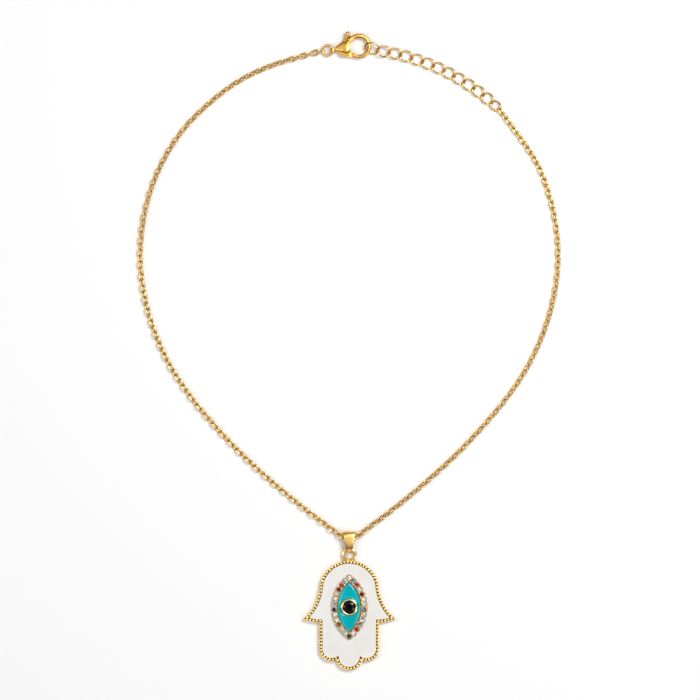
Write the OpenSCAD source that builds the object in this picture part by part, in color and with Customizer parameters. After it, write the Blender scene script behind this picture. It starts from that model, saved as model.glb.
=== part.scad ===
/* [Neck loop] */
// Radius of the upper loop, to the middle of the curb links
loop_r = 70.3; // [69:0.1:72]
// Distance from the middle of the upper loop down to the bail's top bend
bail_drop = 88.2; // [87.5:0.1:89]

/* [Cable chain] */
// Outer width of a link
link_w = 2.0; // [1.95:0.05:2.2]
// Diameter of a link's wire
link_wire = 0.45; // [0.4:0.01:0.46]
// Distance from one link to the next
link_pitch = 1.95; // [1.9:0.05:2.2]
// Play between a link's wire and the next link's wire
link_play = 0.14; // [0.1:0.01:0.2]

/* [Extender] */
// Number of curb links
curb_links = 12; // [10:1:12]
// Distance from one curb link to the next
curb_pitch = 3.75; // [3.6:0.05:3.8]
// Outer width of a curb link
curb_w = 3.8; // [3.6:0.1:4]
// Diameter of the curb links' wire
curb_wire = 0.48; // [0.4:0.01:0.5]
// Play between a curb link's wire and the next one's
curb_play = 0.12; // [0.1:0.01:0.2]
// Twist of a curb link: rise for each square millimetre of its corner
curb_twist = 0.26; // [0.24:0.01:0.3]
// Outer width of the first link, which the clasp holds
first_link_w = 4.0; // [3.9:0.05:4.2]
// Lean of the first link: rise for each millimetre of its width
first_link_lean = 0.84; // [0.82:0.01:0.85]
// Distance that the end link reaches along the chain
end_link_pitch = 3.3; // [3.2:0.1:3.6]
// Outer width of the end link
end_link_w = 3.3; // [3.1:0.1:3.6]
// Twist of the end link: rise for each square millimetre of its corner
end_twist = 0.34; // [0.3:0.01:0.36]
// Distance from the hook's inner side to the first link's joint
hook_room = 0.48; // [0.45:0.01:0.55]
// Turn of the loop from its top to the far joint of the first link, in degrees
first_turn = 7.6; // [7.5:0.1:7.8]
// Height of the curb links' joints over the surface
curb_rest_z = 0.85; // [0.84:0.01:0.9]
// Height of the end link's far joint over the surface
end_z = 0.95; // [0.9:0.01:1]
// Spare room of the chain's last link in the end link
end_room = 0.18; // [0.1:0.01:0.2]

/* [Clasp] */
// Distance from the loop's middle line to the middle of the hook
hook_x = 3.1; // [3:0.1:3.3]
// Distance from the middle of the upper loop up to the middle of the hook
hook_y = 71.1; // [71:0.1:71.3]
// Height of the clasp's middle plane over the surface
clasp_z = 1.75; // [1.75:0.05:1.9]
// Radius of the hook to the middle of its wire
hook_r = 3.45; // [3.4:0.05:3.5]
// Thickness of the hook
hook_t = 1.26; // [1.2:0.02:1.28]
// Rounding of the body's two thick corners
body_r = 1.35; // [1.3:0.05:1.4]
// Rounding of the body's thin end
body_end_r = 0.6; // [0.5:0.05:0.7]
// Thickness of the lever's plate
lever_t = 0.9; // [0.8:0.05:0.95]
// Play of the lever in its slot, on each side
lever_play = 0.1; // [0.08:0.01:0.12]
// Radius of the lever's hub
hub_r = 1.0; // [0.9:0.05:1.05]
// Diameter of the rivet
pin_d = 0.8; // [0.7:0.05:0.9]
// Play of the rivet in its bores, on the radius
pin_play = 0.03; // [0.02:0.01:0.04]
// Length of the rivet
pin_l = 2.2; // [2:0.1:2.3]
// Radius of the lever's heel, which fills the body's lower side
heel_r = 1.35; // [1.3:0.05:1.4]
// Radius of the thumb arm's edge at the hub
arm_root_r = 0.65; // [0.6:0.01:0.7]
// Radius of the thumb arm's edge at the knob
arm_r = 0.6; // [0.55:0.01:0.65]
// Radius of the thumb knob's ball
knob_r = 0.67; // [0.65:0.01:0.7]
// Radius of the thumb knob's neck
knob_neck_r = 0.63; // [0.6:0.01:0.64]
// Length of the thumb knob's neck below the ball's middle
knob_l = 0.6; // [0.5:0.05:0.7]
// Slit between the gate's end and the hook's tip
slit = 0.14; // [0.1:0.01:0.2]
// Degrees that the lever turns to open the gate
lever_swing = 28; // [20:1:30]

/* [Clasp ring] */
// Radius of the jump ring to the middle of its wire
ring_r = 1.7; // [1.65:0.05:1.8]
// Diameter of the jump ring's wire
ring_wire = 0.7; // [0.6:0.05:0.7]
// Height of the jump ring's outer end, where the chain holds it
ring_low_z = 1.05; // [1.05:0.05:1.2]
// Radius of the bore of the clasp's eye
eye_bore_r = 0.55; // [0.5:0.01:0.6]
// Outer radius of the clasp's eye
eye_lug_r = 0.95; // [0.9:0.05:1]
// Width of the clasp's eye
eye_lug_w = 1.2; // [1:0.1:1.3]

/* [Bail] */
// Width of the bail at its top
bail_top_w = 4.4; // [4:0.1:4.8]
// Width of the bail where its point starts
bail_low_w = 2.4; // [2:0.1:2.6]
// Outer radius of the bail's top bend
bail_bend_r = 1.9; // [1.85:0.05:2.1]
// Outer radius of the bail's lower bend
bail_foot_r = 0.95; // [0.9:0.05:1.05]
// Height of the middle of the lower bend over the surface
bail_foot_z = 1.35; // [1.3:0.05:1.4]
// Distance between the two bends
bail_l = 4.9; // [4.7:0.1:5.2]
// Length of the bail's point
bail_point_l = 1.8; // [1.6:0.1:2]
// Thickness of the bail's strip
bail_wall = 0.4; // [0.3:0.05:0.4]

/* [Hanging ring] */
// Radius of the hanging ring to the middle of its wire
hang_r = 1.975; // [1.9:0.025:2.1]
// Diameter of the hanging ring's wire
hang_wire = 0.95; // [0.85:0.05:1]
// Height of the hanging ring's middle over the surface
hang_z = 1.4; // [1.35:0.05:1.45]
// Distance from the bail's top bend down to the middle of the hanging ring
hang_drop = 5.7; // [5.5:0.1:5.8]
// How far the hanging ring sinks into the rim
hang_sink = 0.45; // [0.35:0.05:0.6]

/* [Hand] */
// Thickness of the back plate
plate_t = 1.0; // [0.8:0.1:1.2]
// Radius of the hand's round top
arch_r = 9.65; // [9.4:0.05:9.8]
// Radius of the hollow curve from the round top to a thumb
flare_r = 15; // [14:0.5:17]
// Width of the hand from thumb tip to thumb tip
hand_span = 30.2; // [29.5:0.1:31]
// Distance from the round top's middle down to the thumb tips
tip_drop = 9.4; // [9:0.1:9.8]
// Radius of a thumb's lower edge
thumb_r = 14.7; // [12:0.1:18]
// Distance from the round top's middle down to the corners under the thumbs
corner_drop = 10.6; // [10.4:0.1:11.2]
// Width of the fingers together
palm_w = 19.5; // [19.2:0.1:19.8]
// Radius of the outer fingers' ends
finger_r = 4.15; // [4.1:0.05:4.3]
// Distance from the round top's middle down to the outer fingers' round ends
finger_drop = 19; // [18:0.1:20]
// Radius of the middle finger's end
middle_r = 4.5; // [4.4:0.05:4.6]
// Distance from the round top's middle down to the middle finger's round end
middle_drop = 21.5; // [21:0.1:22]

/* [Rim] */
// Width of the raised rim
rim_w = 1.05; // [1:0.05:1.1]
// Height of the rim
rim_h = 1.85; // [1.7:0.05:2]
// Distance from one grain of the rim to the next
grain_pitch = 1.08; // [1.04:0.02:1.3]
// Diameter of a grain of the rim
grain_d = 0.92; // [0.8:0.02:0.98]
// Depth of a grain's middle below the rim's top
grain_sink = 0.1; // [0.05:0.01:0.15]
// Height of the white enamel's face
white_h = 1.6; // [1.4:0.05:1.7]
// Gap round the enamel fields
enamel_gap = 0.03; // [0.02:0.01:0.05]

/* [Eye] */
// Distance from the round top's middle down to the middle of the eye
eye_drop = 5.5; // [5.2:0.1:5.8]
// Height of the eye's ring of stones, to the stones' middles
halo_h = 19; // [18.8:0.1:19.4]
// Width of the eye's ring of stones, to the stones' middles
halo_w = 9.75; // [9.6:0.05:9.9]
// Height of the halo frame
frame_h = 2.4; // [2.3:0.05:2.6]
// Metal outside each stone of the halo
scallop_w = 0.38; // [0.34:0.01:0.42]
// Distance from the stones' middles in to the teal enamel
inner_rim = 1.1; // [1:0.05:1.15]
// Height of the teal enamel's face
teal_h = 2.05; // [1.9:0.05:2.2]
// Outer radius of the bezel
bezel_r = 2.7; // [2.6:0.05:2.8]
// Height of the bezel
bezel_h = 2.9; // [2.8:0.05:3.1]
// Height of the bezel's seat, under the black stone
bezel_seat_h = 1.6; // [1.5:0.05:1.65]

/* [Stones] */
// Number of stones on each side between the two points of the eye
side_stones = 12; // [10:1:12]
// Diameter of a halo stone
stone_d = 1.4; // [1.3:0.02:1.44]
// Height of a halo stone from its girdle to its table
stone_crown = 0.26; // [0.2:0.01:0.3]
// Depth of a halo stone from its girdle to its point
stone_depth = 0.58; // [0.5:0.01:0.6]
// Height of the girdles over the surface
girdle_z = 2.38; // [2.35:0.01:2.5]
// Diameter of the grains between the stones
bead_d = 0.5; // [0.4:0.02:0.6]
// Diameter of the black stone
pupil_d = 4.1; // [4:0.05:4.2]
// Height of the black stone from its girdle to its table
pupil_crown = 0.55; // [0.4:0.05:0.6]
// Depth of the black stone from its girdle to its point
pupil_depth = 1.05; // [0.9:0.05:1.1]
// Height of the black stone's girdle over the surface
pupil_z = 2.72; // [2.7:0.02:2.8]
// Gap between a stone and its seat
seat_gap = 0.03; // [0.02:0.01:0.05]

/* [Hidden] */
$fn = 48;
hull_sides = 24;
wire_sides = 6;
link_steps = 16;
stone_sides = 8;
pupil_sides = 12;
arc_step = 6;
spline_steps = 6;
table_share = 0.56;
through = 10;

// Rolls of the chain's links in the bail and at their far ends, and the links over which they change
bail_roll = -45;
ring_roll = 90;
end_link_roll = 60;
rolling_links = 8;

// The chain's route beside the loop's middle line, from the bail up, as chosen points
side_route = [
    [2.6, -88.0, 1.6], [7.4, -84.4, 1.0], [14, -79.5, 0.8], [25.5, -70, 0.8], [35.3, -61, 0.8],
    [43.8, -52, 0.8], [51.3, -43, 0.8], [57.8, -33.3, 0.8], [62.8, -22.8, 0.8], [66.2, -11.6, 0.8],
    [67.8, 0, 0.8], [67.3, 11.9, 0.8], [64.7, 23.6, 0.8]
];
right_end_route = [[60.1, 34.7, 0.8]];
left_end_route = [
    [60, 34.7, 0.8], [53.4, 44.6, 0.8], [44.7, 53.2, 0.8], [35, 60.3, 0.85], [23.9, 65.3, 1.0]
];
route_middle = [0, -88.6, 1.65];

// The two bends and the low point of the bail
bail_top = [0, -bail_drop, bail_bend_r];
bail_foot = [0, -bail_drop - bail_l, bail_foot_z];
bail_neck_y = bail_foot.y - bail_foot_r + bail_point_l;

// Places on the hand, all under the middle of its round top
hang_y = -bail_drop - hang_drop;
arch_y = hang_y - hang_r - hang_wire / 2 + hang_sink - arch_r;
arch = [0, arch_y];
tip = [hand_span / 2, arch_y - tip_drop];
corner = [palm_w / 2, arch_y - corner_drop];
finger = [palm_w / 2 - finger_r, arch_y - finger_drop];
middle = [0, arch_y - middle_drop];
eye = [0, arch_y - eye_drop];

// Each long side of the eye is an arc about a point on the other side
halo_r = (halo_h * halo_h + halo_w * halo_w) / (4 * halo_w);
halo_shift = halo_r - halo_w / 2;
halo_turn = 2 * asin(halo_h / 2 / halo_r);
halo_count = 2 * side_stones + 2;
seat_r = stone_d / 2 + seat_gap;

// Places on the clasp, left and up from the middle of the hook, as shares of the hook's radius
hook = [hook_x, hook_y];
body_end = on_clasp(2.174, -0.29);
body_high = on_clasp(0.841, 0.58);
body_low = on_clasp(1.16, -0.391);
pivot = on_clasp(1.362, -0.391);
knob = on_clasp(1.058, 1.188);
heel = on_clasp(1.45, -0.594);
eye_lug = on_clasp(2.435, -0.391);
gate_reach = 1.368 * hook_r - slit / 2;
opening_r = hook_r - 0.4 * hook_t;

// Turns about the middle of the hook at which the gate and the hook start and end
gate_turns = [233, 275];
gate_root_turn = 238;
hook_turns = [-115, 140];

// Turns about the rivet between which the body is open for the gate and the heel
gate_room_turns = [-80, 10];
low_slot_turns = [195, 396];
heel_slot_turns = [145, 200];
swing_spare = 1;

// The jump ring runs from the clasp's eye down to the chain
ring_tilt = asin((clasp_z - ring_low_z) / (2 * ring_r));
ring_far = [eye_lug.x - 2 * ring_r * cos(ring_tilt), eye_lug.y, ring_low_z];
chain_left_end = ring_far + [ring_wire / 2 + link_play / 2, 0, 0];

// Joints of the extender: the first is in the hook, the others are on the upper loop
first_joint = [hook_x + hook_r - hook_t / 2 - hook_room, hook_y, clasp_z];
curb_turn = 2 * asin(curb_pitch / 2 / loop_r);
// Heights of the first joints on the loop, as shares of the way from the surface up to the clasp
curb_fall = [0.95, 0.525, 0.21, 0.06];
curb_joints = concat(
    [first_joint],
    [for (i = [0 : curb_links - 1]) on_loop(first_turn + i * curb_turn, curb_height(i))]
);
curb_end = curb_joints[curb_links];
end_turn = first_turn + (curb_links - 1) * curb_turn + 2 * asin(end_link_pitch / 2 / loop_r);
end_joint = on_loop(end_turn, end_z);
chain_right_end = on_loop(end_turn - end_room / loop_r * 180 / PI, end_z);

// The whole part is centred on the ground between the thumb knob and the middle finger's end
top_y = knob.y + knob_r;
bottom_y = middle.y - middle_r;
centre = [0, -(top_y + bottom_y) / 2, 0];

halo_names = [for (i = [1 : halo_count]) str("halo_stone_", i < 10 ? "0" : "", i)];
curb_names = [for (i = [1 : curb_links]) str("extender_link_", i < 10 ? "0" : "", i)];

gold = "#d9a441";
// Colours of the halo, from the top point round by the left, the bottom point and the right
halo_colours = [
    "#dfe4e2", "#c9dce2", "#a3272b", "#5a2424", "#cdb79b", "#dfe6e4", "#c3dbe8",
    "#1c1a1a", "#b9d8cc", "#e2e6df", "#6b4a33", "#f0efe8", "#a9c9cc", "#24413c",
    "#b9c3dc", "#a8262b", "#8aa3b0", "#9fc6dc", "#dfe4de", "#1f1c1c", "#d5e2df",
    "#dfe6e2", "#7c1f25", "#a9cdb9", "#a3252a", "#5f8fb4"
];

// Points and curves

function polar(angle, radius) = radius * [cos(angle), sin(angle)];

function on_loop(turn, z) = [loop_r * sin(turn), loop_r * cos(turn), z];

function on_clasp(back, rise) = hook + hook_r * [-back, rise];

function curb_height(i) = curb_rest_z + (i < len(curb_fall) ? curb_fall[i] * (clasp_z - curb_rest_z) : 0);

function angle_of(v) = atan2(v.y, v.x);

// The crossing of two circles that lies to the left on the way from the first to the second
function crossing(c1, r1, c2, r2) =
    let (
        way = c2 - c1,
        gap = norm(way),
        along = (r1 * r1 - r2 * r2 + gap * gap) / (2 * gap),
        aside = sqrt(max(0, r1 * r1 - along * along)),
        ahead = way / gap
    )
    c1 + along * ahead + aside * [-ahead.y, ahead.x];

// The middle of a circle through two points, to the left on the way from the first to the second
function arc_middle(p1, p2, radius) = crossing(p1, radius, p2, radius);

function arc(middle_point, radius, from, to) =
    let (steps = max(1, ceil(abs(to - from) / arc_step)))
    [for (i = [0 : steps]) middle_point + polar(from + (to - from) * i / steps, radius)];

// Distances run from the first point of a path to each of its points
function distances(path) =
    let (last = len(path) - 1)
    [
        for (i = 0, run = 0; i <= last; i = i + 1, run = run + (i <= last ? norm(path[i] - path[i - 1]) : 0))
            run
    ];

function at_distance(path, run, wanted) =
    [
        for (axis = [0 : len(path[0]) - 1])
            lookup(wanted, [for (i = [0 : len(path) - 1]) [run[i], path[i][axis]]])
    ];

// Points at equal steps along a path, its ends among them
function equal_steps(path, count) =
    let (run = distances(path), whole = run[len(run) - 1])
    [for (i = [0 : count]) at_distance(path, run, whole * i / count)];

// A smooth curve through chosen points
function smooth(points) =
    let (last = len(points) - 1)
    concat(
        [for (i = [0 : last - 1], k = [0 : spline_steps - 1])
            let (
                a = points[max(0, i - 1)],
                b = points[i],
                c = points[i + 1],
                d = points[min(last, i + 2)],
                t = k / spline_steps
            )
            b + 0.5 * t * (c - a + (2 * a - 5 * b + 4 * c - d) * t + (3 * b - a - 3 * c + d) * t * t)],
        [points[last]]
    );

// Small shapes

// A wedge of a disc about the origin
module wedge_2d(from, to, radius) {
    polygon(concat([[0, 0]], arc([0, 0], radius, from, to)));
}

// Two discs and the straight sides between them
module taper_2d(p1, r1, p2, r2) {
    way = p2 - p1;
    lean = acos((r1 - r2) / norm(way));
    turn = angle_of(way);
    translate(p1) circle(r1);
    translate(p2) circle(r2);
    polygon([
        p1 + polar(turn + lean, r1), p1 + polar(turn - lean, r1),
        p2 + polar(turn - lean, r2), p2 + polar(turn + lean, r2)
    ]);
}

module slab(low, high) {
    translate([0, 0, low])
        linear_extrude(high - low)
            children();
}

// A curved round bar about the origin
module bent_bar(radius, thickness, from, to) {
    rotate([0, 0, from])
        rotate_extrude(angle = to - from)
            translate([radius, 0])
                circle(d = thickness);
}

// Lays a child along the way from one point to another, rolled about it
module between(p, q, roll = 0) {
    way = q - p;
    translate((p + q) / 2)
        rotate([roll, -asin(way.z / norm(way)), angle_of(way)])
            children();
}

// A round cut stone about the middle of its girdle
module cut_stone(width, crown, depth, sides) {
    step = 360 / sides;
    girdle = [for (i = [0 : sides - 1]) concat(polar(i * step, width / 2), [0])];
    table = [for (i = [0 : sides - 1]) concat(polar((i + 0.5) * step, width / 2 * table_share), [crown])];
    faces = concat(
        [[for (i = [0 : sides - 1]) sides + sides - 1 - i]],
        [for (i = [0 : sides - 1]) [i, sides + i, (i + 1) % sides]],
        [for (i = [0 : sides - 1]) [(i + 1) % sides, sides + i, sides + (i + 1) % sides]],
        [for (i = [0 : sides - 1]) [i, (i + 1) % sides, 2 * sides]]
    );
    polyhedron(points = concat(girdle, table, [[0, 0, -depth]]), faces = faces);
}

// A closed oval link of round wire that rises by twist over its corners and by lean over its width
module oval_link(half_l, half_w, wire, twist, lean) {
    function middle_at(t) =
        let (u = half_l * cos(t), v = half_w * sin(t))
        [u, v, (twist * u + lean) * v];
    points = [
        for (i = [0 : link_steps - 1])
            let (
                t = i * 360 / link_steps,
                ahead = middle_at(t + 1) - middle_at(t - 1),
                aside = cross(ahead, [0, 0, 1]) / norm(cross(ahead, [0, 0, 1])),
                above = cross(aside, ahead) / norm(ahead)
            )
            for (k = [0 : wire_sides - 1])
                let (around = polar(k * 360 / wire_sides, wire / 2))
                middle_at(t) + around.x * aside + around.y * above
    ];
    faces = [
        for (i = [0 : link_steps - 1], k = [0 : wire_sides - 1])
            let (j = (i + 1) % link_steps, m = (k + 1) % wire_sides)
            each [
                [i * wire_sides + k, j * wire_sides + m, j * wire_sides + k],
                [i * wire_sides + k, i * wire_sides + m, j * wire_sides + m]
            ]
    ];
    polyhedron(points = points, faces = faces);
}

// The hand

// Half of the hand's outline from the top to the bottom on the right, set in by a distance
function half_hand(inset) =
    let (
        flare = crossing(arch, arch_r + flare_r, tip, flare_r),
        thumb = arc_middle(corner, tip, thumb_r),
        point = crossing(flare, flare_r + inset, thumb, thumb_r - inset),
        side_x = corner.x - inset,
        under = thumb + [side_x - thumb.x, -sqrt(pow(thumb_r - inset, 2) - pow(side_x - thumb.x, 2))],
        cleft = crossing(finger, finger_r - inset, middle, middle_r - inset)
    )
    concat(
        arc(arch, arch_r - inset, 90, angle_of(flare - arch)),
        arc(flare, flare_r + inset, 180 + angle_of(flare - arch), 360 + angle_of(point - flare)),
        arc(thumb, thumb_r - inset, angle_of(point - thumb), angle_of(under - thumb)),
        arc(finger, finger_r - inset, 0, angle_of(cleft - finger)),
        arc(middle, middle_r - inset, angle_of(cleft - middle), -90)
    );

module hand_2d(inset) {
    right = half_hand(inset);
    left = [for (i = [len(right) - 1 : -1 : 0]) [-right[i].x, right[i].y]];
    polygon(concat(right, left));
}

// Grains of the rim, on both sides of the hand
module rim_grains() {
    path = half_hand(rim_w / 2);
    run = distances(path);
    whole = run[len(run) - 1];
    count = round(whole / grain_pitch);
    for (i = [0 : count - 1], side = [-1, 1]) {
        place = at_distance(path, run, whole * (i + 0.5) / count);
        translate([side * place.x, place.y, rim_h - grain_sink])
            sphere(d = grain_d);
    }
}

module hanging_ring() {
    translate([0, hang_y, hang_z])
        rotate_extrude()
            translate([hang_r, 0])
                circle(d = hang_wire);
}

// The eye

// An upright almond between two arcs
module almond_2d(radius) {
    intersection() {
        translate([halo_shift, 0]) circle(radius);
        translate([-halo_shift, 0]) circle(radius);
    }
}

// A place beside the ring of stones: the top point is 0, then left, bottom point and right
function halo_place(index, out = 0) =
    let (
        half = side_stones + 1,
        left = index <= half,
        step = left ? index : halo_count - index,
        turn = halo_turn / 2 - halo_turn * step / half,
        spot = polar(turn, halo_r + out) - [halo_shift, 0]
    )
    [(left ? -1 : 1) * spot.x, spot.y];

module frame_2d(grow) {
    almond_2d(halo_r + stone_d / 2 + grow);
    for (i = [0 : halo_count - 1])
        translate(halo_place(i))
            circle(stone_d / 2 + scallop_w + grow);
}

module halo_frame() {
    difference() {
        slab(0, frame_h)
            difference() {
                frame_2d(0);
                almond_2d(halo_r - inner_rim);
            }
        for (i = [0 : halo_count - 1])
            translate(concat(halo_place(i), [girdle_z - stone_depth - seat_gap]))
                cylinder(r = seat_r, h = through);
    }
}

// Grains that hold the stones, between each two of them on the outer side
module halo_grains() {
    for (i = [0 : halo_count - 1])
        translate(concat(halo_place(i + 0.5, stone_d / 2 + scallop_w / 4), [frame_h]))
            sphere(d = bead_d);
}

module bezel() {
    difference() {
        cylinder(r = bezel_r, h = bezel_h);
        translate([0, 0, bezel_seat_h])
            cylinder(d = pupil_d + 2 * seat_gap, h = through);
    }
}

module pendant_casting() {
    color(gold)
        translate(centre) {
            slab(0, plate_t) hand_2d(0);
            slab(0, rim_h)
                difference() {
                    hand_2d(0);
                    hand_2d(rim_w);
                }
            rim_grains();
            hanging_ring();
            translate(concat(eye, [0])) {
                halo_frame();
                halo_grains();
                bezel();
            }
        }
}

module white_enamel() {
    color("#eeebe9")
        translate(centre)
            slab(plate_t, white_h)
                difference() {
                    hand_2d(rim_w + enamel_gap);
                    translate(eye) frame_2d(enamel_gap);
                }
}

module teal_enamel() {
    color("#00a9b4")
        translate(centre)
            translate(concat(eye, [0]))
                slab(plate_t, teal_h)
                    difference() {
                        almond_2d(halo_r - inner_rim - enamel_gap);
                        circle(bezel_r + enamel_gap);
                    }
}

module pupil_stone() {
    color("#141414")
        translate(centre + concat(eye, [pupil_z]))
            cut_stone(pupil_d, pupil_crown, pupil_depth, pupil_sides);
}

module halo_stone(index) {
    color(halo_colours[index % len(halo_colours)])
        translate(centre + concat(eye + halo_place(index), [girdle_z]))
            cut_stone(stone_d, stone_crown, stone_depth, stone_sides);
}

// The bail

// The bail's loop from the side, set in by a distance; x is the real y, y is the real z
module bail_side_2d(inset) {
    taper_2d(
        [bail_top.y, bail_top.z], bail_bend_r - inset,
        [bail_foot.y, bail_foot.z], bail_foot_r - inset
    );
}

module bail_front_2d() {
    high = bail_top.y + bail_bend_r;
    low = bail_foot.y - bail_foot_r;
    polygon([
        [-bail_top_w / 2, high], [bail_top_w / 2, high],
        [bail_low_w / 2, bail_neck_y], [0, low], [-bail_low_w / 2, bail_neck_y]
    ]);
}

module bail() {
    color(gold)
        translate(centre)
            intersection() {
                translate([-bail_top_w / 2, 0, 0])
                    rotate([90, 0, 90])
                        linear_extrude(bail_top_w)
                            difference() {
                                bail_side_2d(0);
                                bail_side_2d(bail_wall);
                            }
                slab(-through, through) bail_front_2d();
            }
}

// The cable chain

module cable_link() {
    bend_r = (link_w - link_wire) / 2;
    straight = link_pitch + link_play + 2 * link_wire - link_w;
    for (side = [-1, 1]) {
        translate([-straight / 2, side * bend_r, 0])
            rotate([0, 90, 0])
                cylinder(h = straight, d = link_wire);
        translate([side * straight / 2, 0, 0])
            bent_bar(bend_r, link_wire, -90 * side, 90 * side + (side < 0 ? 360 : 0));
    }
}

// A run of links from the bail outwards; the last link is rolled to hang on what it holds
module cable_chain(points, first_roll, last_roll) {
    path = smooth(points);
    run = distances(path);
    count = round(run[len(run) - 1] / link_pitch);
    joints = equal_steps(path, count);
    last_own = (count % 2 == 1 ? 1 : -1) * first_roll;
    change = last_roll - last_own - 180 * round((last_roll - last_own) / 180);
    for (i = [0 : count - 1]) {
        own = (i % 2 == 0 ? 1 : -1) * first_roll;
        between(joints[i], joints[i + 1], own + change * max(0, 1 - (count - 1 - i) / rolling_links))
            cable_link();
    }
}

module chain_left() {
    mirrored = [for (p = concat(side_route, left_end_route)) [-p.x, p.y, p.z]];
    color(gold)
        translate(centre)
            cable_chain(concat([route_middle], mirrored, [chain_left_end]), bail_roll, ring_roll);
}

module chain_right() {
    points = concat([route_middle], side_route, right_end_route, [chain_right_end]);
    color(gold)
        translate(centre)
            cable_chain(points, bail_roll, end_link_roll);
}

// The extender

module curb_link(index) {
    first = index == 0;
    start = curb_joints[index];
    finish = curb_joints[index + 1];
    color(gold)
        translate(centre)
            between(start, finish)
                oval_link(
                    half_l = (norm(finish - start) + curb_wire + curb_play) / 2,
                    half_w = ((first ? first_link_w : curb_w) - curb_wire) / 2,
                    wire = curb_wire,
                    twist = first ? 0 : curb_twist,
                    lean = first ? first_link_lean : 0
                );
}

module extender_end_link() {
    color(gold)
        translate(centre)
            between(curb_end, end_joint)
                oval_link(
                    half_l = (end_link_pitch + curb_wire + curb_play) / 2,
                    half_w = (end_link_w - curb_wire) / 2,
                    wire = curb_wire,
                    twist = end_twist,
                    lean = 0
                );
}

// The clasp

module at_clasp() {
    translate(centre + [0, 0, clasp_z]) children();
}

module clasp_ring() {
    color(gold)
        translate(centre + (concat(eye_lug, [clasp_z]) + ring_far) / 2)
            rotate([0, -ring_tilt, 0])
                rotate_extrude()
                    translate([ring_r, 0])
                        circle(d = ring_wire);
}

module upright_bore(place, radius) {
    translate(concat(place, [-through / 2]))
        cylinder(r = radius, h = through);
}

module eye_cylinder(radius, width) {
    translate([eye_lug.x, eye_lug.y + width / 2, 0])
        rotate([90, 0, 0])
            cylinder(r = radius, h = width);
}

// The lever's thumb arm, seen from above about the rivet
module thumb_arm_2d(grow) {
    taper_2d([0, 0], arm_root_r + grow, knob - pivot, arm_r + grow);
}

// Room for the lever's plate between the cheeks, shut and open
module lever_slot() {
    knob_turn = angle_of(knob - pivot);
    swing = lever_swing + swing_spare;
    slab(-lever_t / 2 - lever_play, lever_t / 2 + lever_play)
        translate(pivot) {
            circle(hub_r + lever_play);
            wedge_2d(heel_slot_turns[0], heel_slot_turns[1], norm(heel - pivot) + heel_r + lever_play);
            wedge_2d(low_slot_turns[0], low_slot_turns[1], through);
            thumb_arm_2d(lever_play);
            rotate(swing) thumb_arm_2d(lever_play);
            wedge_2d(knob_turn, knob_turn + swing, through);
        }
}

module clasp_cheeks() {
    difference() {
        hull() {
            translate(concat(body_end, [0])) sphere(body_end_r, $fn = hull_sides);
            translate(concat(body_high, [0])) sphere(body_r, $fn = hull_sides);
            translate(concat(body_low, [0])) sphere(body_r, $fn = hull_sides);
        }
        lever_slot();
        upright_bore(hook, opening_r);
        upright_bore(pivot, pin_d / 2 + pin_play);
    }
}

module clasp_hook() {
    difference() {
        translate(concat(hook, [0])) bent_bar(hook_r, hook_t, hook_turns[0], hook_turns[1]);
        slab(-hook_t, hook_t)
            translate(pivot)
                intersection() {
                    circle(gate_reach + slit);
                    wedge_2d(gate_room_turns[0], gate_room_turns[1], through);
                }
    }
}

module clasp_body() {
    color(gold)
        at_clasp()
            difference() {
                union() {
                    clasp_cheeks();
                    clasp_hook();
                    eye_cylinder(eye_lug_r, eye_lug_w);
                }
                eye_cylinder(eye_bore_r, through);
            }
}

module clasp_gate() {
    intersection() {
        translate(concat(hook, [0])) bent_bar(hook_r, hook_t, gate_turns[0], gate_turns[1]);
        upright_bore(pivot, gate_reach);
    }
}

module thumb_knob() {
    arm = knob - pivot;
    translate(concat(knob, [0])) sphere(knob_r);
    translate(concat(knob - knob_l * arm / norm(arm), [0]))
        rotate([0, 90, angle_of(arm)])
            cylinder(r = knob_neck_r, h = knob_l);
}

module clasp_lever() {
    color(gold)
        at_clasp()
            difference() {
                union() {
                    slab(-lever_t / 2, lever_t / 2) {
                        translate(pivot) circle(hub_r);
                        translate(pivot) thumb_arm_2d(0);
                        taper_2d(heel, heel_r, hook + polar(gate_root_turn, hook_r), hook_t / 2);
                    }
                    clasp_gate();
                    thumb_knob();
                }
                upright_bore(pivot, pin_d / 2 + pin_play);
            }
}

module clasp_pin() {
    color(gold)
        at_clasp()
            translate(concat(pivot, [-pin_l / 2]))
                cylinder(d = pin_d, h = pin_l);
}

pendant_casting();
white_enamel();
teal_enamel();
pupil_stone();
bail();
chain_left();
chain_right();
clasp_ring();
clasp_body();
clasp_lever();
clasp_pin();
extender_end_link();
for (i = [0 : halo_count - 1])
    halo_stone(i);
for (i = [0 : curb_links - 1])
    curb_link(i);
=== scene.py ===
import math

import bmesh
import bpy
from mathutils import Euler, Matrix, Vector


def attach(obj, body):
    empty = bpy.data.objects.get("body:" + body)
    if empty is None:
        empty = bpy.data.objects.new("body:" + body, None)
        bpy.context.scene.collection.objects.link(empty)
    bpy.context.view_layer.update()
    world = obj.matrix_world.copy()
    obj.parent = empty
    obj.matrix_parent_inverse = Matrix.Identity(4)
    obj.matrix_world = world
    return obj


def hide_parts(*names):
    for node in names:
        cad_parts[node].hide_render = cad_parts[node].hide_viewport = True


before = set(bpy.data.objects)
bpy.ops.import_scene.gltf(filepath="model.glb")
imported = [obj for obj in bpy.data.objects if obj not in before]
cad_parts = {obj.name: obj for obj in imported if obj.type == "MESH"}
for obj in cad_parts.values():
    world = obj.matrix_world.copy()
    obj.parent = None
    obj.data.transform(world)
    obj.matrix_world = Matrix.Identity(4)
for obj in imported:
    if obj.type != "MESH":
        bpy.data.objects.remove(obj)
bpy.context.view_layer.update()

# Sizes are in millimetres and as the solids have them, unless a comment says otherwise
MM = 0.001

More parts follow.
